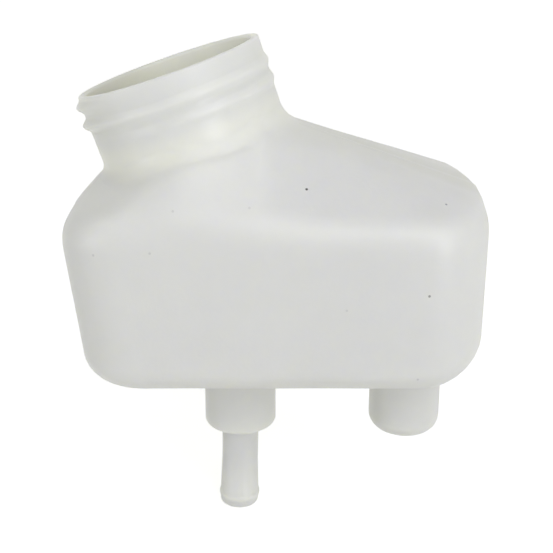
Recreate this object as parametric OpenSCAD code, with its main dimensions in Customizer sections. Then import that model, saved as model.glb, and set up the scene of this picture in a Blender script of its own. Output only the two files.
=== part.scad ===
// Coolant expansion tank, blow-moulded in one piece of natural polyethylene.
// The origin is where the outlet's axis meets the flat underside, +Z is up and the filler leans to -X.
// The mould parts on the plane y = 0, and the back half mirrors the front half.

/* [Body] */
// Depth of the body from its front wall to its back wall
body_depth = 82; // [78:1:92]
// How far the left wall's foot lies from the outlet's axis
left_reach = 48; // [44:1:50]
// How much further the left wall reaches at the eave than at its foot
left_lean = 5.8; // [0:0.5:8]
// How far the right wall lies from the outlet's axis
right_reach = 77; // [77:1:84]
// Draft of the two end walls, from the parting plane to the corners
end_draft = 1.5; // [0.5:0.5:3]
// Radius of the four upright corners
corner_r = 20; // [17:1:24]
// Radius of the underside's long edges
base_edge_r = 9; // [6:0.5:12]
// Radius of the underside's left edge
base_left_r = 9.5; // [7:0.5:13]
// Radius of the underside's right edge, short of the foot
base_right_r = 8; // [6:0.5:8]
// How much rounder the underside is at its two right corners
base_swell = 5.5; // [0:0.5:6]
// Wall thickness of the blown body
wall = 2.2; // [1.6:0.1:3]

/* [Roof] */
// Height of the front and back eaves at the left
eave_left_z = 52.3; // [49:0.1:54]
// Height of the front and back eaves at the right
eave_right_z = 50.4; // [48:0.1:52]
// Height at which the left wall turns into the shoulder
left_shoulder_z = 46.5; // [43:0.5:49]
// Height at which the right wall turns into the ridge
right_shoulder_z = 54.3; // [51:0.1:55]
// Fall of the ridge to the right, in degrees
ridge_fall = 19.2; // [16:0.1:21]
// Length of the soft blend along the eaves
eave_blend = 6; // [3:0.5:8]
// Length of the blend at the two ends of the roof
end_blend = 8; // [5:0.5:9]
// Length of the soft blend along the crest
crest_blend = 8; // [4:0.5:9]

/* [Filler neck] */
// How far to the left of the outlet's axis the neck's axis meets the roof
neck_reach = 13.6; // [11:0.1:16]
// Length of the neck along its axis, from the roof to the lip
neck_h = 23; // [21:0.1:30]
// Lean of the neck to the left, in degrees
neck_tilt = 18.2; // [15:0.1:20]
// Outer radius of the neck below its lip
neck_r = 28.9; // [26:0.1:29.5]
// Wall thickness of the neck
neck_wall = 2.5; // [2.2:0.1:3]
// Radius of the fillet between neck and roof, in front and behind
fillet_mid_r = 4.5; // [3:0.5:5]
// How much wider that fillet grows towards the ridge
fillet_swell = 7.5; // [0:0.5:9]
// Radius of the rounded lip
lip_r = 1.1; // [0.6:0.1:1.1]
// Height of the thread above the neck's wall
thread_h = 1.8; // [1:0.1:2.4]
// Rise of the thread in one turn
thread_pitch = 5.6; // [5.2:0.1:6.5]
// Width of the thread at its root
thread_w = 5; // [3.5:0.1:5]
// Depth below the lip at which the thread starts
thread_start = 14.6; // [14:0.1:16]

/* [Spigots] */
// Radius of the outlet's thick upper part
outlet_r = 12; // [10:0.1:14]
// Length of the outlet's thick upper part
outlet_h = 28.2; // [20:0.1:32]
// Radius of the hose tail next to the thick part
tail_r = 6.2; // [5:0.1:8]
// Radius of the hose tail above its bead
tail_low_r = 6.6; // [5.2:0.1:8.2]
// Radius of the bead that holds the hose
bead_r = 7; // [5.8:0.1:8.8]
// Length of the hose tail
tail_h = 31.4; // [24:0.1:40]
// Lean of the hose tail to the left, in degrees
tail_lean = 1.5; // [0:0.5:3]
// Height of the bead
bead_h = 4.6; // [3:0.1:6]
// Bore radius of the hose tail
bore_r = 4.3; // [3:0.1:4.6]
// Distance of the foot's axis from the outlet's axis
foot_x = 55.8; // [50:0.1:55.9]
// Radius of the foot
foot_r = 11.9; // [10:0.1:12]
// Length of the foot
foot_h = 30; // [22:0.1:34]
// Radius at the blunt end of the outlet's thick part
outlet_edge_r = 1.8; // [1:0.1:3]
// Radius at the blunt end of the foot
foot_edge_r = 3; // [1:0.1:4]
// Radius of the fillet where each spigot leaves the body
root_r = 1.2; // [0.8:0.1:1.2]

/* [Hidden] */
plastic = [0.93, 0.94, 0.9];
half_depth = body_depth / 2;
// Bore radius of the filler mouth, and radius over the crest of the thread
mouth_r = neck_r - neck_wall;
thread_r = neck_r + thread_h;
// Steps round the body: along half an end wall, round a corner and along the front wall
end_steps = 3;
corner_steps = 6;
front_steps = 16;
last_col = 2 * end_steps + 2 * corner_steps + front_steps;
// Steps in each rounded edge on the way up the body, outside and inside
round_steps = 5;
inner_steps = 3;
// The inside uses every second column of the outside
inner_stride = 2;
// Steps round the neck's fillet, and down its section
fillet_turns = 60;
fillet_steps = 5;
// Distance from the neck's wall over which the roof's fall is taken
fillet_probe = 3;
// How far the fillet starts inside the neck's wall, and a spigot's inside the underside
fillet_dip = 0.25;
// Depth to which the neck's shape runs on below the roof, and the mouth's below that
neck_sink = 6;
mouth_sink = 4;
// Height to which a spigot runs up into the body, past the rounded edge of the underside
root_rise = 3;
// Angle at which the thread starts, its whole turn, and its steps
thread_from = -130;
thread_turn = 750;
thread_steps = 84;
fade_steps = 6;
// Depth to which the thread's root is sunk into the neck's wall
thread_dip = 0.5;
// Straight part of the hose tail, and the radius at its open end
tail_straight = 14;
tail_edge_r = 1.2;

// Smooth curve through the points p, at t from 0 to the number of spans
function spline(p, t) =
    let (last = len(p) - 1,
         i = min(floor(t), last - 1),
         f = t - i,
         a = p[max(i - 1, 0)],
         b = p[i],
         c = p[i + 1],
         d = p[min(i + 2, last)])
    ((2 * b) + (c - a) * f + (2 * a - 5 * b + 4 * c - d) * f * f + (3 * b - a - 3 * c + d) * f * f * f) / 2;

// Height of the ridge on the parting plane: it rises under the neck and falls to the right
ridge_top_x = 9;
ridge_top_z = right_shoulder_z + (right_reach - ridge_top_x) * tan(ridge_fall);
function ridge_z(x) =
    x > ridge_top_x
        ? ridge_top_z - (x - ridge_top_x) * tan(ridge_fall)
        : ridge_top_z - (ridge_top_x - x) * tan(neck_tilt);

// Crest between the front slope and the top, from right to left: x, distance from y = 0, fall below the ridge.
// It narrows along the ridge and swells out in front of the neck.
crest_line = [
    [right_reach - 9, half_depth - 15.5, 0.2],
    [right_reach - 24, half_depth - 19.5, 0.1],
    [right_reach - 41, half_depth - 24.2, 0],
    [neck_r - neck_reach + 5, half_depth - 26.5, 0.3],
    [0.66 * neck_r - neck_reach, neck_r - 5.2, 1.6],
    [-neck_reach, neck_r + 2.3, 0.2],
    [-0.68 * neck_r - neck_reach, neck_r - 4.7, 3.2],
    [1.5 - left_reach, 14, 5.6]
];

// Outline of the walls seen from above, for column i, between x = left and x = right
function outline(i, left, right) =
    let (flat = half_depth - corner_r,
         j = i > last_col / 2 ? last_col - i : i,
         side = i > last_col / 2 ? -1 : 1,
         end_x = side > 0 ? right : left,
         corner_x = end_x - side * (end_draft + corner_r),
         other_x = (side > 0 ? left : right) + side * (end_draft + corner_r),
         f = min(j / end_steps, 1),
         turn = 90 * min(max(j - end_steps, 0) / corner_steps, 1),
         along = max(j - end_steps - corner_steps, 0) / front_steps)
    j <= end_steps
        ? [end_x - side * end_draft * f, -flat * f]
        : along == 0
            ? [corner_x + side * corner_r * cos(turn), -flat - corner_r * sin(turn)]
            : [corner_x + (other_x - corner_x) * along, -half_depth];

// Direction that the wall faces at column i, seen from above
function facing(i) =
    let (side = i > last_col / 2 ? -1 : 1,
         j = min(i, last_col - i),
         turn = 90 * min(max(j - end_steps, 0) / corner_steps, 1))
    [side * cos(turn), -sin(turn), 0];

// Share of the way from the left end (0) to the right end (1) at column i
function share(i) = min(max((last_col - i - end_steps) / (last_col - 2 * end_steps), 0), 1);

function smooth(f) = f * f * (3 - 2 * f);
// How far column i belongs to an end wall: 1 on the parting plane, 0 on the front wall
function endness(i) =
    let (j = min(i, last_col - i))
    1 - smooth(min(j / (end_steps + corner_steps), 1));

// The four corners of column i's profile: foot, eave, crest and ridge
function foot_at(i) =
    let (p = outline(i, -left_reach, right_reach))
    [p[0], p[1], 0];
function eave_at(i) =
    let (p = outline(i, -left_reach - left_lean, right_reach),
         front_z = eave_left_z + (eave_right_z - eave_left_z) * share(i),
         end_z = i < last_col / 2 ? right_shoulder_z : left_shoulder_z)
    [p[0], p[1], front_z + (end_z - front_z) * endness(i)];
function crest_at(i) =
    let (j = min(i, last_col - i),
         spans = len(crest_line) - 1,
         t = spans * min(max((i - end_steps) / (last_col - 2 * end_steps), 0), 1),
         c = spline(crest_line, t),
         f = min(j / end_steps, 1),
         out = (i < last_col / 2 ? 3 : -1.5) * (1 - f * f),
         x = c[0] + out)
    [x, -c[1] * sin(90 * f), ridge_z(x) - c[2] * (i < last_col / 2 ? f : 1)];
function ridge_at(i) =
    let (c = crest_at(i),
         x = min(max(c[0], -40), 62))
    [x, 0, ridge_z(x)];

// Point at t on the curve that rounds the corner b between a and c, over the lengths given
function rounded(a, b, c, len_in, len_out, t) =
    let (p = b + (a - b) / norm(a - b) * len_in,
         q = b + (c - b) / norm(c - b) * len_out)
    p * (1 - t) * (1 - t) + b * 2 * t * (1 - t) + q * t * t;

// Radius of the underside's edge at column i: the two right corners are rounder than the edges between
function base_r(i) =
    let (right = i < last_col / 2,
         end_r = right ? base_right_r : base_left_r,
         corner = smooth(min(max(i - 1.5, 0) / 2.5, 1)) * (1 - smooth(min(max(i - 4, 0) / 5, 1))))
    base_edge_r + (end_r - base_edge_r) * endness(i) + (right ? base_swell * corner : 0);

// Column i's profile from the underside up over the wall, the eave and the crest to the ridge
function profile(i, steps) =
    let (foot = foot_at(i),
         eave = eave_at(i),
         crest = crest_at(i),
         ridge = ridge_at(i),
         up = eave - foot,
         r = base_r(i),
         inside = foot - facing(i) * (r + 3),
         blend = eave_blend + (end_blend - eave_blend) * endness(i),
         slope = norm(crest - eave),
         top = norm(ridge - crest),
         blend_out = min(blend, slope * 0.48),
         crest_in = min(crest_blend, slope * 0.48),
         crest_out = min(crest_blend, top * 0.48))
    concat(
        [for (k = [0 : steps]) arc_corner(inside, foot, eave, r, k / steps)],
        [foot + up * 0.5],
        [for (k = [0 : steps]) rounded(foot, eave, crest, blend, blend_out, k / steps)],
        [for (k = [0 : steps]) rounded(eave, crest, ridge, crest_in, crest_out, k / steps)],
        [crest + (ridge - crest) * 0.9]
    );

// Point at t on the true arc of radius r that rounds the corner b between a and c
function arc_corner(a, b, c, r, t) =
    let (u = (a - b) / norm(a - b),
         w = (c - b) / norm(c - b),
         opening = acos(u * w),
         reach = r / tan(opening / 2),
         bisector = (u + w) / norm(u + w),
         centre = b + bisector * r / sin(opening / 2),
         p = b + u * reach - centre,
         q = b + w * reach - centre,
         sweep = 180 - opening)
    centre + (p * sin((1 - t) * sweep) + q * sin(t * sweep)) / sin(sweep);

// Front half of a skin's grid: a profile for each column, by the stride given
function half_grid(stride, steps) = [for (i = [0 : stride : last_col]) profile(i, steps)];
outer_grid = half_grid(1, round_steps);
inner_grid = half_grid(inner_stride, inner_steps);

// Point of the closed grid, where k runs round the body from the right end, front half first
function grid_point(grid, row, k) =
    let (n = len(grid) - 1,
         i = (k + 2 * n) % (2 * n),
         front = i <= n,
         p = grid[front ? i : 2 * n - i][row])
    front ? p : [p[0], -p[1], p[2]];
// Direction out of the skin at a point of the grid
function grid_normal(grid, row, k) =
    let (last = len(grid[0]) - 1)
    row == 0
        ? [0, 0, -1]
        : let (up = grid_point(grid, min(row + 1, last), k) - grid_point(grid, row - 1, k),
               round = grid_point(grid, row, k - 1) - grid_point(grid, row, k + 1),
               n = row == last ? [0, 0, 1] : cross(round, up))
          n / norm(n);

// Facets that span a row of the grid from its front half to its back half, from its first point on
function across_facets(first, n) =
    [for (i = [0 : n - 1])
        let (a = first + i,
             b = first + i + 1,
             c = first + (2 * n - i) % (2 * n),
             d = first + 2 * n - i - 1)
        each [if (i > 0) [a, b, c], if (i < n - 1) [c, b, d]]];

// The blown body's skin on a grid, moved in by the depth given
module skin(grid, inset) {
    n = len(grid) - 1;
    ring = 2 * n;
    rows = len(grid[0]);
    points = [for (row = [0 : rows - 1], k = [0 : ring - 1])
        grid_point(grid, row, k) - grid_normal(grid, row, k) * inset];
    sides = [for (row = [0 : rows - 2], k = [0 : ring - 1])
        let (a = row * ring + k,
             b = row * ring + (k + 1) % ring)
        each [[a, b, a + ring], [b, b + ring, a + ring]]];
    underside = [for (t = across_facets(0, n)) [t[0], t[2], t[1]]];
    ridge = across_facets((rows - 1) * ring, n);
    polyhedron(points, concat(sides, underside, ridge), convexity = 6);
}

// The neck's own frame, with its origin at the centre of the mouth and +Z up the neck's axis
module in_neck() {
    translate(mouth_centre)
        rotate([0, -neck_tilt, 0])
            children();
}

// Neck and rounded lip, as one turned shape that runs down into the body
module neck() {
    rotate_extrude($fn = 96)
        union() {
            translate([0, -neck_h - neck_sink])
                square([neck_r, neck_h + neck_sink - lip_r]);
            translate([0, -neck_h])
                square([neck_r - lip_r, neck_h]);
            translate([neck_r - lip_r, -lip_r])
                circle(lip_r, $fn = 32);
        }
}

// Filler mouth with its rounded inner lip
module mouth() {
    translate([0, 0, -neck_h - neck_sink - mouth_sink])
        cylinder(r = mouth_r, h = neck_h + neck_sink + mouth_sink + 1, $fn = 96);
    rotate_extrude($fn = 96)
        difference() {
            translate([0, -lip_r])
                square([mouth_r + lip_r, lip_r + 1]);
            translate([mouth_r + lip_r, -lip_r])
                circle(lip_r, $fn = 32);
        }
}

// The front half of the roof in the neck's own frame, as triangles
across = [cos(neck_tilt), 0, sin(neck_tilt)];
along = [-sin(neck_tilt), 0, cos(neck_tilt)];
mouth_centre = [-neck_reach, 0, ridge_z(-neck_reach)] + neck_h * along;
function in_neck_frame(p) = let (d = p - mouth_centre) [d * across, d[1], d * along];
last_row = len(outer_grid[0]) - 1;
roof_row = last_row - 2 * round_steps - 3;
roof_rows = [
    for (row = [roof_row : last_row])
        [for (column = outer_grid) in_neck_frame(column[row])],
    [for (column = outer_grid) in_neck_frame([column[last_row][0], 0, column[last_row][2]])]
];
roof_facets = [for (row = [0 : len(roof_rows) - 2], i = [0 : last_col - 1])
    let (a = roof_rows[row][i],
         b = roof_rows[row][i + 1],
         c = roof_rows[row + 1][i],
         d = roof_rows[row + 1][i + 1])
    each [[a, c, b], [b, c, d]]];

// Height of the roof at x and y in the neck's frame, for y on the front half
function roof_height(x, y) =
    max([for (t = roof_facets)
        let (a = t[0],
             b = t[1] - a,
             c = t[2] - a,
             area = b[0] * c[1] - b[1] * c[0],
             p = ((x - a[0]) * c[1] - (y - a[1]) * c[0]) / (area == 0 ? 1 : area),
             q = ((y - a[1]) * b[0] - (x - a[0]) * b[1]) / (area == 0 ? 1 : area))
        if (area != 0 && p >= -0.001 && q >= -0.001 && p + q <= 1.001) a[2] + p * b[2] + q * c[2]]);

// Radius of the fillet at the angle a round the neck: wide only where the neck faces the ridge
function fillet_r(a) = fillet_mid_r + fillet_swell * pow(max(cos(a), 0), 4);

// Section of the fillet at the angle a: distance from the axis and height.
// Its arc leaves the neck's wall and runs out along the roof, wherever the roof lies.
function fillet_section(a) =
    let (meet = roof_height(neck_r * cos(a), -neck_r * abs(sin(a))),
         outer = neck_r + fillet_probe,
         beyond = roof_height(outer * cos(a), -outer * abs(sin(a))),
         fall = atan2(meet - beyond, fillet_probe),
         sweep = 90 - fall,
         r = fillet_r(a),
         top = meet + r * tan(sweep / 2),
         last = [neck_r + r * (1 - cos(sweep)), top - r * sin(sweep)])
    concat(
        [[neck_r - 1.5, meet - 1.5], [last[0], last[1] - 1.5]],
        [for (k = [fillet_steps : -1 : 0]) [
            neck_r - fillet_dip + r * (1 - cos(sweep * k / fillet_steps)),
            top - r * sin(sweep * k / fillet_steps)]],
        [[neck_r - 1.5, top + 1]]
    );

// Concave fillet between the neck and the roof
module neck_fillet() {
    half = [for (k = [0 : fillet_turns / 2]) fillet_section(360 * k / fillet_turns)];
    loft([for (k = [0 : fillet_turns - 1])
        let (a = 360 * k / fillet_turns)
        [for (p = half[min(k, fillet_turns - k)]) [p[0] * cos(a), p[0] * sin(a), p[1]]]], true);
}

// Solid through equal closed sections, joined end to end when it is a ring
module loft(sections, ring) {
    n = len(sections);
    m = len(sections[0]);
    sides = [for (k = [0 : ring ? n - 1 : n - 2], j = [0 : m - 1])
        let (a = k * m + j,
             b = k * m + (j + 1) % m,
             c = ((k + 1) % n) * m + j,
             d = ((k + 1) % n) * m + (j + 1) % m)
        each [[a, b, c], [b, d, c]]];
    caps = ring ? [] : [[for (j = [m - 1 : -1 : 0]) j], [for (j = [0 : m - 1]) (n - 1) * m + j]];
    polyhedron([for (section = sections) each section], concat(sides, caps), convexity = 6);
}

// Share of its full height that the thread has at step k, fading in and out at its ends
function thread_fade(k) = smooth(min(1, (min(k, thread_steps - k) + 0.5) / fade_steps));

// Coarse rounded thread round the neck
module thread() {
    loft([for (k = [0 : thread_steps])
        let (a = thread_from + thread_turn * k / thread_steps,
             z = -thread_start + thread_pitch * thread_turn * k / thread_steps / 360,
             root = neck_r - thread_dip,
             h = (thread_r - root) * thread_fade(k),
             section = [[0, -0.5], [0.45 * h, -0.3], [h, -0.1], [h, 0.1], [0.45 * h, 0.3], [0, 0.5]])
        [for (p = section) [(root + p[0]) * cos(a), (root + p[0]) * sin(a), z + p[1] * thread_w]]], false);
}

// Blunt spigot that hangs below the underside, with a fillet at its root
module spigot(r, h, edge_r) {
    rotate_extrude($fn = 64)
        union() {
            translate([0, -h + edge_r])
                square([r, h - edge_r + root_rise]);
            translate([0, -h])
                square([r - edge_r, h]);
            translate([r - edge_r, -h + edge_r])
                circle(edge_r, $fn = 32);
            difference() {
                translate([0, fillet_dip - root_r])
                    square([r + root_r, root_r - fillet_dip + root_rise]);
                translate([r + root_r, fillet_dip - root_r])
                    circle(root_r, $fn = 32);
            }
        }
}

// Hollow of a blunt spigot, open to the body
module spigot_hollow(r, h, edge_r) {
    inner_edge_r = max(edge_r - wall, 0.1);
    rotate_extrude($fn = 64)
        union() {
            translate([0, -h + wall + inner_edge_r])
                square([r - wall, h + root_rise]);
            translate([0, -h + wall])
                square([r - wall - inner_edge_r, h]);
            translate([r - wall - inner_edge_r, -h + wall + inner_edge_r])
                circle(inner_edge_r, $fn = 32);
        }
}

// The hose tail's own frame, with its origin at the end of the outlet's thick part
module in_tail() {
    translate([0, 0, -outlet_h])
        rotate([0, tail_lean, 0])
            children();
}

// Hose tail below the outlet, with the bead that holds the hose
module hose_tail() {
    bead_z = -tail_h + tail_edge_r + bead_h / 2;
    rotate_extrude($fn = 64)
        union() {
            polygon([
                [0, wall / 2],
                [tail_r, wall / 2],
                [tail_r, -tail_straight],
                [tail_low_r, bead_z + bead_h / 2],
                [tail_low_r, -tail_h + tail_edge_r],
                [0, -tail_h + tail_edge_r]
            ]);
            translate([0, -tail_h])
                square([tail_low_r - tail_edge_r, tail_edge_r]);
            translate([tail_low_r - tail_edge_r, -tail_h + tail_edge_r])
                circle(tail_edge_r, $fn = 32);
            translate([bead_r - bead_h / 2, bead_z])
                circle(bead_h / 2, $fn = 32);
        }
}

// Bore of the hose tail, through its open end and into the outlet's hollow
module tail_bore() {
    translate([0, 0, -tail_h - 1])
        cylinder(r = bore_r, h = tail_h + wall + 2, $fn = 64);
}

module tank() {
    color(plastic)
        difference() {
            union() {
                skin(outer_grid, 0);
                in_neck() {
                    neck();
                    neck_fillet();
                    thread();
                }
                spigot(outlet_r, outlet_h, outlet_edge_r);
                in_tail()
                    hose_tail();
                translate([foot_x, 0, 0])
                    spigot(foot_r, foot_h, foot_edge_r);
            }
            skin(inner_grid, wall);
            in_neck()
                mouth();
            translate([0, 0, wall - outlet_h])
                cylinder(r = outlet_r - wall, h = outlet_h + root_rise, $fn = 64);
            in_tail()
                tail_bore();
            translate([foot_x, 0, 0])
                spigot_hollow(foot_r, foot_h, foot_edge_r);
        }
}

tank();
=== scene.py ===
import math

import bmesh
import bpy
import numpy as np
from mathutils import Matrix, Vector
from mathutils.bvhtree import BVHTree


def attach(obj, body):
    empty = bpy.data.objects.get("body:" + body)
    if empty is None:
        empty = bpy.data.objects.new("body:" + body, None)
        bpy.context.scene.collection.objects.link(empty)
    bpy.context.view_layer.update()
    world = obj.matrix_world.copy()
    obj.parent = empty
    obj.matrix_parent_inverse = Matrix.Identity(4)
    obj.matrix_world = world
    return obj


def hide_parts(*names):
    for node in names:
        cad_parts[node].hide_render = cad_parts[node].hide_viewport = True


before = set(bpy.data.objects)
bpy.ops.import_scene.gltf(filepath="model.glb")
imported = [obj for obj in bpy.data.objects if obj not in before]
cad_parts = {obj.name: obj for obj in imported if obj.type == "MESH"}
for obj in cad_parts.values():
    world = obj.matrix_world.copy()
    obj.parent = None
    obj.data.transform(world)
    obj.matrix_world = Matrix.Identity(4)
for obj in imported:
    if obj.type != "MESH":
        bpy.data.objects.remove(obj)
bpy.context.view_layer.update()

# A millimetre in the scene's metres
MM = 0.001

# Sizes in millimetres, as in the part's source, apart from a sharper, lower lip and a longer, rounder foot
HALF_DEPTH = 41.0
LEFT, LEFT_LEAN, RIGHT = 48.0, 5.8, 77.0
END_DRAFT, CORNER_R = 1.5, 20.0
BASE_R, BASE_LEFT_R, BASE_RIGHT_R, BASE_SWELL = 9.0, 9.5, 8.0, 5.5
WALL = 2.2
EAVE_LEFT_Z, EAVE_RIGHT_Z = 52.3, 50.4
SHOULDER_LEFT_Z, SHOULDER_RIGHT_Z = 46.5, 54.3
RIDGE_FALL = 19.2
EAVE_BLEND, END_BLEND, CREST_BLEND = 6.0, 8.0, 8.0
NECK_REACH, NECK_H, NECK_TILT, NECK_R = 13.6, 23.0, 18.2, 28.9
MOUTH_R, LIP_R, LIP_OUT, LIP_LOW = 26.4, 1.1, 0.7, 0.3
FILLET_R, FILLET_SWELL = 4.5, 7.5
OUTLET_R, OUTLET_H, OUTLET_EDGE = 12.0, 28.2, 1.8
FOOT_X, FOOT_R, FOOT_H, FOOT_EDGE = 55.8, 11.9, 30.5, 5.6
TAIL_R, TAIL_LOW_R, TAIL_H, TAIL_LEAN, TAIL_STRAIGHT, TAIL_EDGE = 6.2, 6.6, 31.4, 1.5, 14.0, 1.2
BEAD_R, BEAD_H, BORE_R = 7.0, 4.6, 4.3
ROOT_R, ROOT_RISE, ROOT_DIP = 1.2, 3.0, 0.25

# The thread's crest, pitch, width and depth below the lip, and where it begins and its turn, in degrees
THREAD_R, THREAD_PITCH, THREAD_W, THREAD_START = 30.7, 5.6, 5.0, 14.6
THREAD_FROM, THREAD_TURN, THREAD_LEAD = -160, 790, 30
# Its height in front, what it gains at the right, and the span over which it grows to its crest at the left
THREAD_LOW, THREAD_RIGHT, THREAD_TALL = 0.5, 0.2, (0.6, 0.4)
# How much lower it lies at the right, and how much higher at the left
THREAD_SAG, THREAD_LIFT = 0.9, 0.35

# The parting seam, the slight waves, and how deep the skin lies below the plain form
SEAM_H, SEAM_W, SEAM_BLEND = 0.05, 1.4, 8
SEAM_XS = (50, 38, 26, 14, 0, -14, -28)
WAVE_H, SKIN_DEPTH = 0.1, 0.02

# How deep edges that merge are sunk, and how far a piece reaches into the next one or a cut past an end
RIB_SUNK, FILLET_SUNK = 0.02, 0.04
NECK_IN, TAIL_IN, THREAD_IN, SEAM_IN, FILLET_IN = 6, 1.1, 0.4, 0.3, 1.5
MOUTH_IN, OUTLET_HOLLOW_IN, FOOT_HOLLOW_IN, BORE_IN, CUT_OVER = 10, 5, 6, 3.2, 1

# Columns of a profile's place round the body, and points or turns of each mesh
END_COLS, CORNER_COLS, FRONT_COLS = 3, 6, 16
LAST = 2 * END_COLS + 2 * CORNER_COLS + FRONT_COLS
SKIN_SUB, SKIN_FINE = 5, 8
HOLLOW_SUB, HOLLOW_FINE = 3, 5
NECK_TURNS, FILLET_TURNS, SPIGOT_TURNS, HOLLOW_TURNS = 240, 180, 128, 96
EDGE_STEPS, END_STEPS, BEAD_STEPS, FILLET_STEPS = 8, 14, 12, 14
THREAD_STEPS, THREAD_FADE, THREAD_POINTS = 420, 52, 16

# The lower right corner's larger rounding: columns where it comes and goes, and how many each takes
SWELL_FROM, SWELL_IN, SWELL_TO, SWELL_OUT = 1.5, 2.5, 4, 5
# Margin of the flat underside, the part of a slope that one rounding may take, and the last row's place
BASE_MARGIN, ROUNDING_SHARE, LAST_ROW = 3, 0.48, 0.97
# How far the crest bows out at the body's two ends, and where the ridge ends
CREST_BOW_RIGHT, CREST_BOW_LEFT = 3, -1.5
RIDGE_FROM_X, RIDGE_TO_X = -40, 62


def tand(a):
    return math.tan(math.radians(a))


def spline(points, t):
    """Smooth curve through the points, at t from 0 to the number of spans."""
    last = len(points) - 1
    i = min(int(t), last - 1)
    f = t - i
    a, b, c, d = (np.array(points[k], float) for k in (max(i - 1, 0), i, i + 1, min(i + 2, last)))
    square = (2 * a - 5 * b + 4 * c - d) * f ** 2
    cube = (3 * b - a - 3 * c + d) * f ** 3
    return (2 * b + (c - a) * f + square + cube) / 2


RIDGE_TOP_X = 9.0
RIDGE_TOP_Z = SHOULDER_RIGHT_Z + (RIGHT - RIDGE_TOP_X) * tand(RIDGE_FALL)


def ridge_z(x):
    if x > RIDGE_TOP_X:
        return RIDGE_TOP_Z - (x - RIDGE_TOP_X) * tand(RIDGE_FALL)
    return RIDGE_TOP_Z - (RIDGE_TOP_X - x) * tand(NECK_TILT)


# Crest between the front slope and the top: x, distance from the parting plane, fall below the ridge
CREST = [
    (RIGHT - 9, HALF_DEPTH - 15.5, 0.2),
    (RIGHT - 24, HALF_DEPTH - 19.5, 0.1),
    (RIGHT - 41, HALF_DEPTH - 24.2, 0.0),
    (NECK_R - NECK_REACH + 5, HALF_DEPTH - 26.5, 0.3),
    (0.66 * NECK_R - NECK_REACH, NECK_R - 5.2, 1.6),
    (-NECK_REACH, NECK_R + 2.3, 0.2),
    (-0.68 * NECK_R - NECK_REACH, NECK_R - 4.7, 3.2),
    (1.5 - LEFT, 14, 5.6),
]


def clamp(v, lo=0.0, hi=1.0):
    return min(max(v, lo), hi)


def smooth(f):
    return f * f * (3 - 2 * f)


def ease(v, start, length):
    """Smooth step from 0 to 1 that begins at the start and takes the length given."""
    return smooth(clamp((v - start) / length))


def outline(i, left, right):
    """Walls seen from above at column i, which may lie between two whole columns."""
    flat = HALF_DEPTH - CORNER_R
    side = -1 if i > LAST / 2 else 1
    j = LAST - i if side < 0 else i
    end_x = right if side > 0 else left
    corner_x = end_x - side * (END_DRAFT + CORNER_R)
    other_x = (left if side > 0 else right) + side * (END_DRAFT + CORNER_R)
    if j <= END_COLS:
        f = j / END_COLS
        return end_x - side * END_DRAFT * f, -flat * f
    turn = math.radians(90 * clamp((j - END_COLS) / CORNER_COLS))
    along_front = max(j - END_COLS - CORNER_COLS, 0) / FRONT_COLS
    if along_front == 0:
        return corner_x + side * CORNER_R * math.cos(turn), -flat - CORNER_R * math.sin(turn)
    return corner_x + (other_x - corner_x) * along_front, -HALF_DEPTH


def facing(i):
    """Level direction in which column i's wall faces."""
    side = -1 if i > LAST / 2 else 1
    turn = math.radians(90 * clamp((min(i, LAST - i) - END_COLS) / CORNER_COLS))
    return np.array([side * math.cos(turn), -math.sin(turn), 0])


def share(i):
    """How far column i is to the right, from 0 to 1."""
    return clamp((LAST - i - END_COLS) / (LAST - 2 * END_COLS))


def endness(i):
    """How much column i belongs to one of the body's ends: 1 there and 0 on the front."""
    return 1 - smooth(min(min(i, LAST - i) / (END_COLS + CORNER_COLS), 1))


def corners(i):
    """Foot, eave, crest and ridge of column i's profile."""
    right_half = i < LAST / 2
    x, y = outline(i, -LEFT, RIGHT)
    let_in = (SEAM_H + SKIN_DEPTH) * (1 - smooth(min(-y / SEAM_BLEND, 1))) * (-1 if right_half else 1)
    foot = np.array([x + let_in, y, 0.0])
    x = outline(i, -LEFT - LEFT_LEAN, RIGHT)[0] + let_in
    front_z = EAVE_LEFT_Z + (EAVE_RIGHT_Z - EAVE_LEFT_Z) * share(i)
    end_z = SHOULDER_RIGHT_Z if right_half else SHOULDER_LEFT_Z
    eave = np.array([x, y, front_z + (end_z - front_z) * endness(i)])
    c = spline(CREST, (len(CREST) - 1) * clamp((i - END_COLS) / (LAST - 2 * END_COLS)))
    f = min(min(i, LAST - i) / END_COLS, 1)
    x = c[0] + (CREST_BOW_RIGHT if right_half else CREST_BOW_LEFT) * (1 - f * f)
    fall = c[2] * (f if right_half else 1)
    crest = np.array([x, -c[1] * math.sin(math.radians(90 * f)), ridge_z(x) - fall])
    x = clamp(x, RIDGE_FROM_X, RIDGE_TO_X)
    return foot, eave, crest, np.array([x, 0, ridge_z(x)])


def unit(v):
    return v / np.linalg.norm(v)


def rounded(a, b, c, len_in, len_out, t):
    """Place t on a soft curve that cuts off corner b between a and c."""
    p = b + unit(a - b) * len_in
    q = b + unit(c - b) * len_out
    return p * (1 - t) ** 2 + b * 2 * t * (1 - t) + q * t * t


def arc_corner(a, b, c, r, t):
    """Place t on a true arc of radius r that cuts off corner b between a and c."""
    u, w = unit(a - b), unit(c - b)
    opening = math.acos(float(u @ w))
    reach = r / math.tan(opening / 2)
    centre = b + unit(u + w) * r / math.sin(opening / 2)
    p, q = b + u * reach - centre, b + w * reach - centre
    sweep = math.pi - opening
    return centre + (p * math.sin((1 - t) * sweep) + q * math.sin(t * sweep)) / math.sin(sweep)


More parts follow.
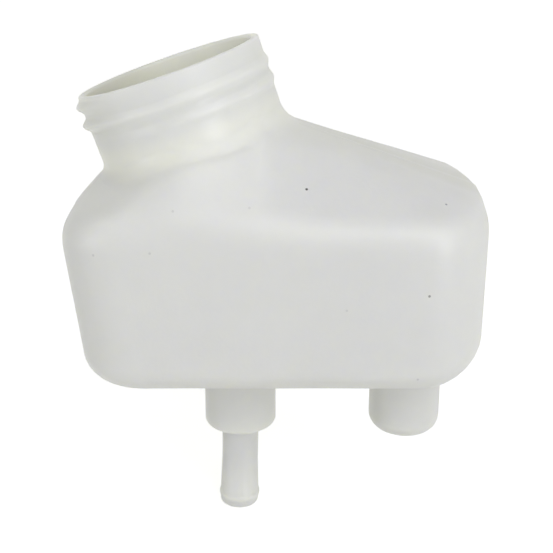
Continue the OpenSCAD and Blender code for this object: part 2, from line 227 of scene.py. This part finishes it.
def profile(i, fine):
    """Column i's profile from the underside up to the ridge; fine sets how many points each part gets."""
    foot, eave, crest, ridge = corners(i)
    r = BASE_R + ((BASE_RIGHT_R if i < LAST / 2 else BASE_LEFT_R) - BASE_R) * endness(i)
    if i < LAST / 2:
        r += BASE_SWELL * ease(i, SWELL_FROM, SWELL_IN) * (1 - ease(i, SWELL_TO, SWELL_OUT))
    inside = foot - facing(i) * (r + BASE_MARGIN)
    blend = EAVE_BLEND + (END_BLEND - EAVE_BLEND) * endness(i)
    slope, top = np.linalg.norm(crest - eave), np.linalg.norm(ridge - crest)
    blend_out = min(blend, slope * ROUNDING_SHARE)
    crest_in = min(CREST_BLEND, slope * ROUNDING_SHARE)
    crest_out = min(CREST_BLEND, top * ROUNDING_SHARE)
    steps = [k / fine for k in range(fine + 1)]
    base = [arc_corner(inside, foot, eave, r, t) for t in steps]
    eaves = [rounded(foot, eave, crest, blend, blend_out, t) for t in steps]
    crests = [rounded(eave, crest, ridge, crest_in, crest_out, t) for t in steps]
    between = [k / fine for k in range(1, fine)]
    wall = [base[-1] + (eaves[0] - base[-1]) * t for t in between]
    slopes = [eaves[-1] + (crests[0] - eaves[-1]) * t for t in between]
    top_rows = [crests[-1] + (ridge - crests[-1]) * t for t in between + [LAST_ROW]]
    return [inside] + base + wall + eaves + slopes + crests + top_rows


def waves(p):
    """Depth of the slight unevenness that a blown wall has, from 0 to 1."""
    x, y, z = p[..., 0], p[..., 1], p[..., 2]
    over_length = np.sin(x / 6.1 + 0.9 * np.sin(z / 8.3) + y / 13.0)
    over_height = np.sin(z / 5.2 + 1.1 * np.sin(x / 11.0) - y / 7.7)
    return 0.5 + 0.25 * (over_length + over_height)


def outward(grid):
    """Directions in which the skin faces at each point of its grid of rows and columns."""
    up = np.empty_like(grid)
    up[1:-1] = grid[2:] - grid[:-2]
    up[0], up[-1] = grid[1] - grid[0], grid[-1] - grid[-2]
    around = np.roll(grid, 1, axis=1) - np.roll(grid, -1, axis=1)
    n = np.cross(around, up)
    n /= np.linalg.norm(n, axis=2, keepdims=True)
    n[:2], n[-1] = (0, 0, -1), (0, 0, 1)
    return n


def skin_faces(rows, ring):
    """Faces of the skin: its rows, the top closed from front to back, and the flat underside."""
    faces = [
        (r * ring + k, (r + 1) * ring + k, (r + 1) * ring + (k + 1) % ring, r * ring + (k + 1) % ring)
        for r in range(rows - 1)
        for k in range(ring)
    ]
    half = ring // 2
    top = (rows - 1) * ring
    for k in range(half):
        a, b, c, d = k, k + 1, (ring - k) % ring, ring - k - 1
        quad = (a, b, c) if k == half - 1 else (b, d, a) if k == 0 else (a, b, d, c)
        faces.append(tuple(top + v for v in reversed(quad)))
    faces.append(tuple(range(ring)))
    return faces


def skin(inset, sub, fine):
    """The blown body's skin as points and faces, moved in by the depth given."""
    front = np.array([profile(k / sub, fine) for k in range(LAST * sub + 1)])
    back = front[-2:0:-1] * np.array([1, -1, 1])
    grid = np.concatenate([front, back]).transpose(1, 0, 2)
    n = outward(grid)
    depth = np.full(grid.shape[:2], float(inset)) if inset else SKIN_DEPTH + WAVE_H * waves(grid)
    depth[:2] = inset
    grid = grid - n * depth[..., None]
    return grid.reshape(-1, 3), skin_faces(*grid.shape[:2])


def lathe(section, turns):
    """A closed section of (radius, height), turned round the Z axis."""
    points, rings = [], []
    for r, z in section:
        if r < 1e-6:
            rings.append([len(points)] * turns)
            points.append((0, 0, z))
        else:
            rings.append(list(range(len(points), len(points) + turns)))
            points += [
                (r * math.cos(2 * math.pi * k / turns), r * math.sin(2 * math.pi * k / turns), z)
                for k in range(turns)
            ]
    faces = []
    for lower, upper in zip(rings, rings[1:] + rings[:1]):
        for k in range(turns):
            loop = [lower[k], lower[(k + 1) % turns], upper[(k + 1) % turns], upper[k]]
            face = tuple(dict.fromkeys(loop))
            if len(face) > 2:
                faces.append(face)
    return np.array(points, float), faces


def loft(sections, ring):
    """A solid through equal closed sections, joined end to end when it is a ring."""
    n, m = len(sections), len(sections[0])
    faces = [
        (k * m + j, (k + 1) % n * m + j, (k + 1) % n * m + (j + 1) % m, k * m + (j + 1) % m)
        for k in range(n if ring else n - 1)
        for j in range(m)
    ]
    if not ring:
        faces += [tuple(range(m)), tuple((n - 1) * m + j for j in range(m - 1, -1, -1))]
    return np.array([p for s in sections for p in s], float), faces


def arc(cx, cz, r, start, end, steps):
    """Points on an arc in a section, from one angle to another in degrees."""
    angles = [math.radians(start + (end - start) * k / steps) for k in range(steps + 1)]
    return [(cx + r * math.cos(a), cz + r * math.sin(a)) for a in angles]


def solid(name, shape, matrix=Matrix()):
    """An object in the scene from points in millimetres and faces."""
    points, faces = shape
    mesh = bpy.data.meshes.new(name)
    mesh.from_pydata([tuple(p) for p in np.asarray(points) * MM], [], faces)
    mesh.transform(matrix)
    o = bpy.data.objects.new(name, mesh)
    bpy.context.scene.collection.objects.link(o)
    return o


def combine(target, others, operation):
    """Add the others to the target or cut them from it, and take them out of the scene."""
    for other in others:
        m = target.modifiers.new(other.name, "BOOLEAN")
        m.object, m.operation, m.solver = other, operation, "MANIFOLD"
    whole = target.evaluated_get(bpy.context.evaluated_depsgraph_get())
    mesh = bpy.data.meshes.new_from_object(whole)
    target.modifiers.clear()
    target.data = mesh
    for other in others:
        bpy.data.objects.remove(other)


# The neck's frame: its axis, the way across it to the right, and the middle of its mouth
tilt = math.radians(NECK_TILT)
across = np.array([math.cos(tilt), 0, math.sin(tilt)])
along = np.array([-math.sin(tilt), 0, math.cos(tilt)])
mouth_centre = np.array([-NECK_REACH, 0, ridge_z(-NECK_REACH)]) + NECK_H * along
in_neck = Matrix.Translation(Vector(mouth_centre * MM)) @ Matrix.Rotation(-tilt, 4, "Y")
in_tail = Matrix.Translation((0, 0, -OUTLET_H * MM)) @ Matrix.Rotation(math.radians(TAIL_LEAN), 4, "Y")
at_foot = Matrix.Translation((FOOT_X * MM, 0, 0))


def neck():
    """The neck's plain wall with its rounded outer lip."""
    depth = NECK_H + NECK_IN
    lip = arc(NECK_R - LIP_OUT, -LIP_OUT - LIP_LOW, LIP_OUT, 0, 90, EDGE_STEPS)
    return lathe([(0, -depth), (NECK_R, -depth)] + lip + [(0, -LIP_LOW)], NECK_TURNS)


def mouth():
    """What is cut out of the neck, with the rounded inner lip."""
    depth = NECK_H + MOUTH_IN
    lip = arc(MOUTH_R + LIP_R, -LIP_R - LIP_LOW, LIP_R, 180, 90, EDGE_STEPS)
    above = [(MOUTH_R + LIP_R, CUT_OVER), (0, CUT_OVER)]
    return lathe([(0, -depth), (MOUTH_R, -depth)] + lip + above, NECK_TURNS)


def spigot(r, h, edge):
    """A spigot under the body with a rounded end and a small fillet at its root."""
    end = arc(r - edge, edge - h, edge, -90, 0, END_STEPS)
    root = arc(r + ROOT_R, ROOT_DIP - ROOT_R, ROOT_R, 180, 90, EDGE_STEPS)
    return lathe([(0, -h)] + end + root + [(r + ROOT_R, ROOT_RISE), (0, ROOT_RISE)], SPIGOT_TURNS)


# Angle in degrees at which the tail's rounded end gives way to its bead
TAIL_END_STOP = -5


def hose_tail():
    """The tail from its rounded end over the bead and up into the outlet's floor."""
    bead_r = BEAD_H / 2
    rise = TAIL_LOW_R - BEAD_R + bead_r
    turn = math.degrees(math.atan2(math.sqrt(bead_r ** 2 - rise ** 2), rise))
    end = arc(TAIL_LOW_R - TAIL_EDGE, TAIL_EDGE - TAIL_H, TAIL_EDGE, -90, TAIL_END_STOP, EDGE_STEPS)
    bead = arc(BEAD_R - bead_r, -TAIL_H + TAIL_EDGE + bead_r, bead_r, -turn, turn, BEAD_STEPS)
    upper = [(TAIL_R, -TAIL_STRAIGHT), (TAIL_R, TAIL_IN), (0, TAIL_IN)]
    return lathe([(0, -TAIL_H)] + end + bead + upper, SPIGOT_TURNS)


def cylinder(r, low, high):
    return lathe([(0, low), (r, low), (r, high), (0, high)], HOLLOW_TURNS)


def foot_hollow():
    """The blind hollow in the foot, one wall inside it."""
    r = FOOT_EDGE - WALL
    end = arc(FOOT_R - FOOT_EDGE, WALL + r - FOOT_H, r, -90, 0, EDGE_STEPS)
    upper = [(FOOT_R - WALL, FOOT_HOLLOW_IN), (0, FOOT_HOLLOW_IN)]
    return lathe([(0, WALL - FOOT_H)] + end + upper, HOLLOW_TURNS)


def roof_height_field():
    """The roof's height above the mouth's plane, as a function of x and y in the neck's frame."""
    points, faces = skin(0, SKIN_SUB, SKIN_FINE)
    tree = BVHTree.FromPolygons([tuple(p) for p in points], faces)

    def height(x, y):
        start = mouth_centre + across * x + np.array([0, y, 0])
        hit = tree.ray_cast(Vector(start), Vector(-along))
        return -hit[3]

    return height


# Where the fillet's search looks: how far out in radii, at how many places, how finely, in how many rounds
LOOK_OUT, ROOF_PLACES, ROOF_FINE, ROUNDS = 1.1, 15, 200, 30
# The power by which the fillet shrinks from right to left, and how far above its circle's middle it ends
FILLET_POWER, FILLET_TOP = 0.7, 1


def touching_circle(r, out, roof):
    """Height of the circle that touches both wall and roof, and the angle where it touches the roof."""
    low, high = roof[0], roof[0] + 2 * r
    for _ in range(ROUNDS):
        middle = (low + high) / 2
        gap = np.hypot(out - r, roof - middle)
        low, high = (low, middle) if gap.min() > r else (middle, high)
    nearest = int(gap.argmin())
    return middle, math.atan2(roof[nearest] - middle, out[nearest] - r) % (2 * math.pi)


def fillet_section(ca, sa, height):
    """The fillet's section at one angle round the neck: distances from the wall, and heights."""
    r = FILLET_R + FILLET_SWELL * ((1 + ca) / 2) ** FILLET_POWER
    places = np.linspace(0, r * LOOK_OUT, ROOF_PLACES)
    roof = np.array([height((NECK_R + s) * ca, -(NECK_R + s) * abs(sa)) for s in places])
    out = np.linspace(0, r * LOOK_OUT, ROOF_FINE)
    middle, end = touching_circle(r, out, np.interp(out, places, roof))
    below = (r + r * math.cos(end), middle + r * math.sin(end) - FILLET_IN)
    ring = [(-FILLET_IN, roof[0] - FILLET_IN), below]
    for k in range(FILLET_STEPS, -1, -1):
        t = math.pi + (end - math.pi) * k / FILLET_STEPS
        ring.append((r + r * math.cos(t) - FILLET_SUNK, middle + r * math.sin(t) - FILLET_SUNK))
    return ring + [(-FILLET_IN, middle + FILLET_TOP)]


def neck_fillet():
    """A fillet that touches both the neck's wall and the roof, swept round the neck."""
    height = roof_height_field()
    sections = []
    for k in range(FILLET_TURNS):
        a = 2 * math.pi * k / FILLET_TURNS
        ca, sa = math.cos(a), math.sin(a)
        ring = fillet_section(ca, sa, height)
        sections.append([((NECK_R + p) * ca, (NECK_R + p) * sa, z) for p, z in ring])
    return loft(sections, True)


def thread():
    """Low rounded thread, which stands out most at the left, where the mould parts."""
    widths = [v / THREAD_POINTS for v in range(-THREAD_POINTS // 2, THREAD_POINTS // 2 + 1)]
    sections = []
    for k in range(THREAD_STEPS + 1):
        turned = THREAD_TURN * k / THREAD_STEPS
        a = math.radians(THREAD_FROM + turned)
        ca, sa = math.cos(a), math.sin(a)
        right, left = max(ca, 0), max(-ca, 0)
        z = THREAD_PITCH * (turned - THREAD_LEAD) / 360 - THREAD_START
        z += -THREAD_SAG * right ** 2 + THREAD_LIFT * left ** 2
        fade = smooth(min(1, min(k, THREAD_STEPS - k) / THREAD_FADE))
        extra = (THREAD_R - NECK_R - THREAD_LOW) * ease(-ca, *THREAD_TALL)
        h = (THREAD_LOW + extra + THREAD_RIGHT * right ** 4) * fade
        crest = [(h * math.cos(math.pi * w) ** 2 - RIB_SUNK, w) for w in widths]
        rim = [(-THREAD_IN, -0.5)] + crest + [(-THREAD_IN, 0.5)]
        sections.append([((NECK_R + p) * ca, (NECK_R + p) * sa, z + q * THREAD_W) for p, q in rim])
    return loft(sections, False)


def seam():
    """The parting line: a fine bead round the body on the parting plane."""
    right, left = profile(0, SKIN_FINE), profile(LAST, SKIN_FINE)
    path = [(p[0], p[2]) for p in right] + [(x, ridge_z(x)) for x in SEAM_XS]
    path += [(p[0], p[2]) for p in reversed(left)]
    widths = (0.5, 0.3, 0.1, -0.1, -0.3, -0.5)
    crest = [((SEAM_H + RIB_SUNK) * math.cos(math.pi * w) - RIB_SUNK, w) for w in widths]
    ring = [(-SEAM_IN, -0.5), (-SEAM_IN, 0.5)] + crest
    sections = []
    for k, (x, z) in enumerate(path):
        before, after = np.array(path[k - 1]), np.array(path[(k + 1) % len(path)])
        d = unit(after - before)
        n = np.array([d[1], -d[0]])
        sections.append([(x + n[0] * h, w * SEAM_W, z + n[1] * h) for h, w in ring])
    return loft(sections, True)


def take_out_slivers(mesh, length=2e-7):
    """Dissolve the slivers that the cuts leave, shorter than the length in metres."""
    cleaned = bmesh.new()
    cleaned.from_mesh(mesh)
    bmesh.ops.dissolve_degenerate(cleaned, dist=length, edges=cleaned.edges)
    cleaned.to_mesh(mesh)
    cleaned.free()


tank = solid("tank_visual", skin(0, SKIN_SUB, SKIN_FINE))
combine(
    tank,
    [
        solid("neck", neck(), in_neck),
        solid("fillet", neck_fillet(), in_neck),
        solid("thread", thread(), in_neck),
        solid("outlet", spigot(OUTLET_R, OUTLET_H, OUTLET_EDGE)),
        solid("tail", hose_tail(), in_tail),
        solid("foot", spigot(FOOT_R, FOOT_H, FOOT_EDGE), at_foot),
        solid("seam", seam()),
    ],
    "UNION",
)
combine(
    tank,
    [
        solid("hollow", skin(WALL, HOLLOW_SUB, HOLLOW_FINE)),
        solid("mouth", mouth(), in_neck),
        solid("outlet_hollow", cylinder(OUTLET_R - WALL, WALL - OUTLET_H, OUTLET_HOLLOW_IN)),
        solid("bore", cylinder(BORE_R, -TAIL_H - CUT_OVER, BORE_IN), in_tail),
        solid("foot_hollow", foot_hollow(), at_foot),
    ],
    "DIFFERENCE",
)
take_out_slivers(tank.data)
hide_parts("tank")
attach(tank, "root")

SHARP_ANGLE = 38
for polygon in tank.data.polygons:
    polygon.use_smooth = True
tank.data.set_sharp_from_angle(angle=math.radians(SHARP_ANGLE))


class Material:
    """A material's nodes, with short ways to add and to join them."""

    def __init__(self, name):
        self.data = bpy.data.materials.new(name)
        self.data.use_nodes = True
        self.nodes = self.data.node_tree.nodes
        self.shader = self.nodes["Principled BSDF"]

    def give(self, node, inputs):
        """Set a node's inputs to plain values, or join other nodes' outputs to them."""
        for key, value in inputs.items():
            if isinstance(value, bpy.types.NodeSocket):
                self.data.node_tree.links.new(value, node.inputs[key])
            else:
                node.inputs[key].default_value = value

    def add(self, kind, inputs, **settings):
        node = self.nodes.new("ShaderNode" + kind)
        for key, value in settings.items():
            setattr(node, key, value)
        self.give(node, inputs)
        return node

    def calc(self, operation, *values):
        return self.add("Math", dict(enumerate(values)), operation=operation).outputs[0]

    def vector(self, operation, *values):
        return self.add("VectorMath", dict(enumerate(values)), operation=operation).outputs["Vector"]

    def measure(self, operation, *values):
        return self.add("VectorMath", dict(enumerate(values)), operation=operation).outputs["Value"]

    def noise(self, place, scale, detail):
        return self.add("TexNoise", {"Vector": place, "Scale": scale, "Detail": detail}).outputs["Fac"]

    def ramp(self, value, span, low=0.0, high=1.0):
        """Smooth step from low to high of a value in metres, over a span in millimetres."""
        start, end = span
        inputs = {"Value": value, "From Min": start * MM, "From Max": end * MM, "To Min": low, "To Max": high}
        return self.add("MapRange", inputs, interpolation_type="SMOOTHSTEP").outputs["Result"]

    def mix(self, first, second, factor, blend="MIX"):
        inputs = {"A": first, "B": second, "Factor": factor}
        return self.add("Mix", inputs, data_type="RGBA", blend_type=blend).outputs["Result"]


# The plastic's two cloud colours, then painted shade on the lip and thread, inside the mouth and along the
# top, and painted light on the slopes; the shades are a little tinted too
CLOUD_DARK, CLOUD_LIGHT = (0.845, 0.855, 0.735, 1), (0.875, 0.882, 0.762, 1)
LIP_SHADE_AND_TINT, INSIDE_SHADE_AND_TINT = (0.835, 0.835, 0.94, 1), (0.72, 0.71, 0.78, 1)
TOP_SHADE_AND_TINT, SLOPE_LIGHT = (0.935, 0.935, 0.915, 1), (1.06, 1.06, 1.06, 1)
# A painted highlight along the parting seam, and the colour of the specks of dirt
SEAM_HIGHLIGHT_COLOUR, DIRT_COLOUR = (0.96, 0.97, 0.9, 1), (0.03, 0.028, 0.025, 1)

# How much of the painted shade inside the mouth is left at the right, and how strong the painted highlight
# along the parting seam is
RIGHT_SHARE, SEAM_HIGHLIGHT_SHARE = 0.04, 0.4

# Noise scales of the clouds, the gloss and the grain, the gloss's range, and the grain's depth in metres
CLOUD_SCALE, GLOSS_SCALE, GRAIN_SCALE = 140.0, 420.0, 900.0
GLOSS_FROM, GLOSS_TO = 0.3, 0.42
GRAIN_STRENGTH, GRAIN_DEPTH = 0.25, 0.00012

# Spans in millimetres over which the painted shade, light and seam highlight change: in the neck's frame, and
# then in the tank's
NEAR_TOP, TO_LEFT, NECK_WALL = (-21, -14), (-26, 2), (27.0, 28.4)
BESIDE_NECK, ROOF, SLOPE_X = (16, 30), (50, 56), (-30, 50)
TOP_BAND, SLOPE_BAND, SEAM_HIGHLIGHT_BAND = (3, 17), (9, 19), (0.4, 1.9)

# Specks of dirt on the plastic: place in millimetres, radius in millimetres, strength
SPECKS = [
    ((20.9, -29.7, 60.8), 0.36, 0.95),
    ((61.0, -29.8, 56.4), 0.31, 0.55),
    ((55.8, -41.0, 32.4), 0.34, 0.65),
    ((-16.6, -38.3, 56.7), 0.34, 0.14),
    ((4.7, -36.6, 57.2), 0.34, 0.12),
    ((-23.2, -41.0, 45.2), 0.34, 0.15),
    ((-39.4, -39.3, 44.1), 0.34, 0.17),
    ((53.8, -40.4, 6.1), 0.34, 0.18),
    ((32.4, -41.0, 28.0), 0.34, 0.12),
]
# A speck's full and faint reach, in its radii
SPECK_CORE, SPECK_EDGE = 0.8, 1.4


def paint_neck_shade(m, place, colour):
    """Painted shade: the lip and the thread a little darker and less yellow, the mouth's inside darker still,
    most to the left.
    """
    axis = list(along)
    from_mouth = m.vector("SUBTRACT", place, [v * MM for v in mouth_centre])
    off_axis = m.measure("LENGTH", m.vector("CROSS_PRODUCT", from_mouth, axis))
    near_top = m.ramp(m.measure("DOT_PRODUCT", from_mouth, axis), NEAR_TOP)
    to_left = m.ramp(m.measure("DOT_PRODUCT", from_mouth, list(across)), TO_LEFT, 1.0, RIGHT_SHARE)
    outside = m.calc("MULTIPLY", near_top, m.ramp(off_axis, NECK_WALL))
    inside = m.calc("MULTIPLY", near_top, m.ramp(off_axis, NECK_WALL, 1.0, 0.0))
    # Painted shade on the lip and the thread
    colour = m.mix(colour, LIP_SHADE_AND_TINT, outside, "MULTIPLY")
    # Painted shade inside the mouth, darkest to the left
    return m.mix(colour, INSIDE_SHADE_AND_TINT, m.calc("MULTIPLY", inside, to_left), "MULTIPLY")


def paint_roof_light_and_shade(m, place, colour):
    """Painted shade along the top band, a little yellower, a painted highlight along the parting line, and
    painted light on the slopes.
    """
    apart = m.add("SeparateXYZ", {0: place})
    off_plane = m.calc("ABSOLUTE", apart.outputs["Y"])
    beside_neck = m.ramp(apart.outputs["X"], BESIDE_NECK)
    roof = m.ramp(apart.outputs["Z"], ROOF)
    top = m.calc("MULTIPLY", m.calc("MULTIPLY", roof, beside_neck), m.ramp(off_plane, TOP_BAND, 1.0, 0.0))
    # Painted shade along the top band
    colour = m.mix(colour, TOP_SHADE_AND_TINT, top, "MULTIPLY")
    to_right = m.calc("MULTIPLY", roof, m.ramp(apart.outputs["X"], SLOPE_X))
    slopes = m.calc("MULTIPLY", to_right, m.ramp(off_plane, SLOPE_BAND))
    # Painted light on the slopes
    colour = m.mix(colour, SLOPE_LIGHT, slopes, "MULTIPLY")
    # Painted highlight along the parting seam
    line = m.calc("MULTIPLY", m.ramp(off_plane, SEAM_HIGHLIGHT_BAND, SEAM_HIGHLIGHT_SHARE, 0.0), beside_neck)
    return m.mix(colour, SEAM_HIGHLIGHT_COLOUR, line)


def specks(m, place):
    """How much dirt lies at each place, from 0 to 1: a small spot round each speck."""
    total = 0.0
    for where, radius, strength in SPECKS:
        distance = m.measure("DISTANCE", place, [v * MM for v in where])
        spot = m.ramp(distance, (radius * SPECK_CORE, radius * SPECK_EDGE), strength, 0.0)
        total = m.calc("MAXIMUM", total, spot)
    return total


def plastic():
    """Milky plastic: faintly cloudy, with painted shade and light on the neck and roof, specks of dirt, and
    the fine grain of a blown skin.
    """
    m = Material("milky_plastic")
    place = m.add("TexCoord", {}).outputs["Object"]
    colour = m.mix(CLOUD_DARK, CLOUD_LIGHT, m.noise(place, CLOUD_SCALE, 3.0))
    colour = paint_roof_light_and_shade(m, place, paint_neck_shade(m, place, colour))
    dirt = specks(m, place)
    gloss = {"Value": m.noise(place, GLOSS_SCALE, 2.0), "To Min": GLOSS_FROM, "To Max": GLOSS_TO}
    height = m.noise(place, GRAIN_SCALE, 3.0)
    grain = {"Height": height, "Strength": GRAIN_STRENGTH, "Distance": GRAIN_DEPTH}
    m.give(m.shader, {
        "Base Color": m.mix(colour, DIRT_COLOUR, dirt),
        "Roughness": m.add("MapRange", gloss).outputs["Result"],
        "IOR": 1.5,
        "Normal": m.add("Bump", grain).outputs["Normal"],
        "Subsurface Weight": m.calc("SUBTRACT", 1.0, dirt),
        "Subsurface Radius": (1.0, 1.0, 0.75),
        "Subsurface Scale": 0.009,
    })
    return m.data


tank.data.materials.clear()
tank.data.materials.append(plastic())

# The floor in metres: its height, half its width, its front and back edge, its bend and its back's height
FLOOR_Z, FLOOR_HALF_W = -0.0600, 4.0
FLOOR_FRONT, FLOOR_BACK, FLOOR_BEND, FLOOR_TOP = -3.0, 1.2, 0.8, 4.0
FLOOR_COLOUR, FLOOR_GLOW = (0.7, 0.7, 0.7, 1), 0.66
# The bend's first angle in radians and its points
BEND_FROM, BEND_POINTS = 0.1, 12


def floor_material():
    """Pale and matt, with a glow for the camera and for the rays that show the floor in the tank."""
    m = Material("pale_floor")
    m.give(m.shader, {"Base Color": FLOOR_COLOUR, "Roughness": 0.9, "Specular IOR Level": 0.0})
    path = m.add("LightPath", {})
    lit = path.outputs["Is Camera Ray"]
    for ray in ("Is Glossy Ray", "Is Transmission Ray"):
        lit = m.calc("MAXIMUM", lit, path.outputs[ray])
    clear = m.add("Emission", {"Strength": 0.0}).outputs[0]
    glow = m.add("Emission", {"Strength": FLOOR_GLOW}).outputs[0]
    seen = m.add("MixShader", {0: lit, 1: clear, 2: glow}).outputs[0]
    both = m.add("AddShader", {0: m.shader.outputs[0], 1: seen}).outputs[0]
    m.give(m.nodes["Material Output"], {0: both})
    return m.data


def floor():
    """A pale sweep under and behind the tank."""
    section = [(FLOOR_FRONT, 0.0), (FLOOR_BACK, 0.0)]
    section += [
        (FLOOR_BACK + FLOOR_BEND * math.sin(t), FLOOR_BEND - FLOOR_BEND * math.cos(t))
        for t in np.linspace(BEND_FROM, math.pi / 2, BEND_POINTS)
    ]
    section.append((FLOOR_BACK + FLOOR_BEND, FLOOR_TOP))
    points = [(x, y, FLOOR_Z + z) for x in (-FLOOR_HALF_W, FLOOR_HALF_W) for y, z in section]
    n = len(section)
    mesh = bpy.data.meshes.new("floor")
    mesh.from_pydata(points, [], [(k, n + k, n + k + 1, k + 1) for k in range(n - 1)])
    for polygon in mesh.polygons:
        polygon.use_smooth = True
    mesh.materials.append(floor_material())
    o = bpy.data.objects.new("floor", mesh)
    bpy.context.scene.collection.objects.link(o)
    return o


floor()

LAMP_AIM, LAMP_COLOUR = Vector((0.012, 0, 0.03)), (0.985, 0.99, 1.0)


def lamp(name, direction, distance, size, power):
    data = bpy.data.lights.new(name, "AREA")
    data.shape, data.size, data.size_y, data.energy = "RECTANGLE", size[0], size[1], power
    data.color = LAMP_COLOUR
    o = bpy.data.objects.new(name, data)
    d = Vector(direction).normalized()
    o.location = LAMP_AIM + d * distance
    o.rotation_mode = "QUATERNION"
    o.rotation_quaternion = d.to_track_quat("Z", "Y")
    bpy.context.scene.collection.objects.link(o)


lamp("front", (0.32, -0.76, 0.6), 1.6, (1.4, 1.0), 9.8)
lamp("above", (-0.1, -0.45, 0.88), 1.6, (1.2, 1.2), 1.4)
lamp("right", (0.57, -0.82, -0.02), 1.2, (0.22, 0.45), 4.1)
lamp("left", (-0.84, -0.52, -0.03), 1.2, (0.2, 0.4), 2.6)

scene = bpy.context.scene
scene.world = bpy.data.worlds.new("studio")
scene.world.use_nodes = True
background = scene.world.node_tree.nodes["Background"]
background.inputs["Color"].default_value = (1, 1, 0.945, 1)
background.inputs["Strength"].default_value = 0.5
scene.view_settings.view_transform = "Standard"

# The camera: focal length and picture width in photo pixels, sensor in millimetres, place in metres
FOCAL_PX, PHOTO_PX, SENSOR = 980.0, 553.0, 36.0
CAMERA_AIM, CAMERA_DISTANCE, CAMERA_ELEVATION = Vector((0.0123, 0, 0.0239)), 0.320, 19.5

data = bpy.data.cameras.new("camera")
data.sensor_width = SENSOR
data.lens = FOCAL_PX / PHOTO_PX * SENSOR
data.clip_start, data.clip_end = 0.01, 20.0
camera = bpy.data.objects.new("camera", data)
elevation = math.radians(CAMERA_ELEVATION)
back = Vector((0, -math.cos(elevation), math.sin(elevation)))
camera.location = CAMERA_AIM + back * CAMERA_DISTANCE
camera.rotation_mode = "QUATERNION"
camera.rotation_quaternion = back.to_track_quat("Z", "Y")
scene.collection.objects.link(camera)
scene.camera = camera
